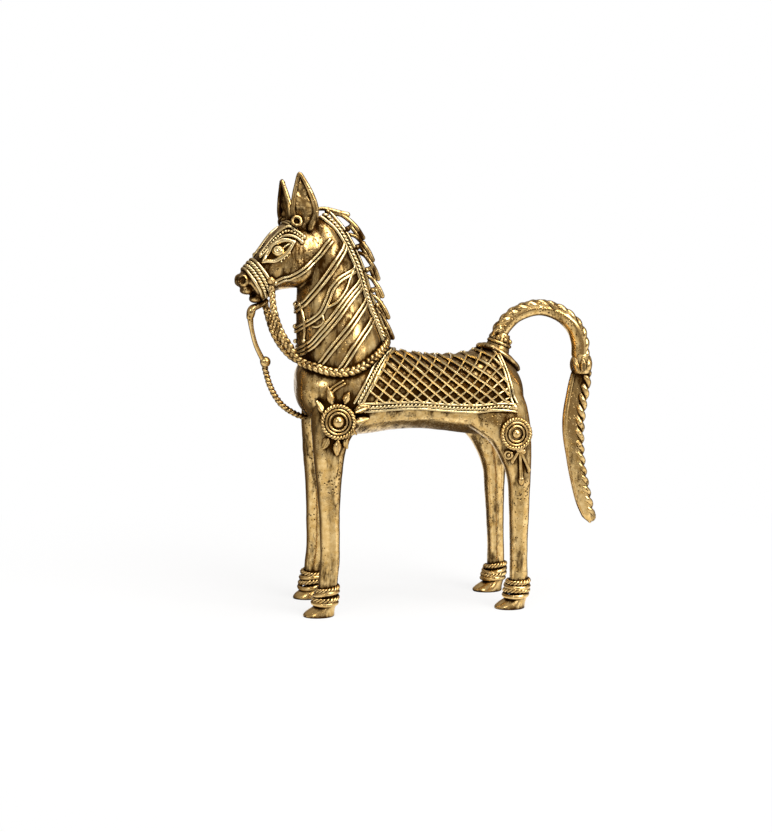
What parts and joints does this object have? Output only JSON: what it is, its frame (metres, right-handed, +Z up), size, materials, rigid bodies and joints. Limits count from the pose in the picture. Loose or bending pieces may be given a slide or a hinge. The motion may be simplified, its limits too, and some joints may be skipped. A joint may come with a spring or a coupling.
{
  "type": "horse figurine",
  "caption": "Standing brass horse ornament in the lost-wax thread style, with net saddle cloth, rosettes, cast reins and an arched plaited tail.",
  "frame": {"origin": "on the ground, under the middle of the figure's bounding box", "axes": "+Z up; the horse looks along -X; +Y is its right side"},
  "size_m": [0.1514, 0.0466, 0.1796],
  "materials": {
    "body_brass": "cast, hand polished, dark patina in the hollows",
    "thread_brass": "bright thread work over dark patina",
    "core_clay": "fired clay and sand"
  },
  "bodies": {
    "root": {"torso_shell": "body_brass", "clay_core": "core_clay", "neck_shell": "body_brass", "head": "body_brass", "ear_left": "body_brass", "ear_right": "body_brass", "tail_arch": "body_brass", "tail_switch": "body_brass", "fore_leg_left": "body_brass", "fore_leg_right": "body_brass", "fore_hoof_left": "body_brass", "fore_hoof_right": "body_brass", "hind_leg_left": "body_brass", "hind_leg_right": "body_brass", "hind_hoof_left": "body_brass", "hind_hoof_right": "body_brass", "brow_band": "thread_brass", "noseband": "thread_brass", "lead_rope": "thread_brass", "mane_strap": "thread_brass", "mane_crest": "thread_brass", "neck_band_1": "thread_brass", "neck_band_2": "thread_brass", "neck_band_3": "thread_brass", "saddle_front_strap": "thread_brass", "saddle_rear_strap": "thread_brass", "tail_root": "thread_brass", "tail_cuff": "thread_brass", "eye_left": "thread_brass", "eye_right": "thread_brass", "jaw_strap_left": "thread_brass", "jaw_strap_right": "thread_brass", "poll_ring_left": "thread_brass", "poll_ring_right": "thread_brass", "rein_left": "thread_brass", "rein_right": "thread_brass", "neck_band_4_left": "thread_brass", "neck_band_4_right": "thread_brass", "neck_band_5_left": "thread_brass", "neck_band_5_right": "thread_brass", "saddle_net_left": "thread_brass", "saddle_net_right": "thread_brass", "saddle_hem_left": "thread_brass", "saddle_hem_right": "thread_brass", "shoulder_rosette_left": "thread_brass", "shoulder_rosette_right": "thread_brass", "haunch_rosette_left": "thread_brass", "haunch_rosette_right": "thread_brass", "haunch_tassel_left": "thread_brass", "haunch_tassel_right": "thread_brass", "fore_anklet_left": "thread_brass", "fore_anklet_right": "thread_brass", "hind_anklet_left": "thread_brass", "hind_anklet_right": "thread_brass"}
  },
  "joints": []
}
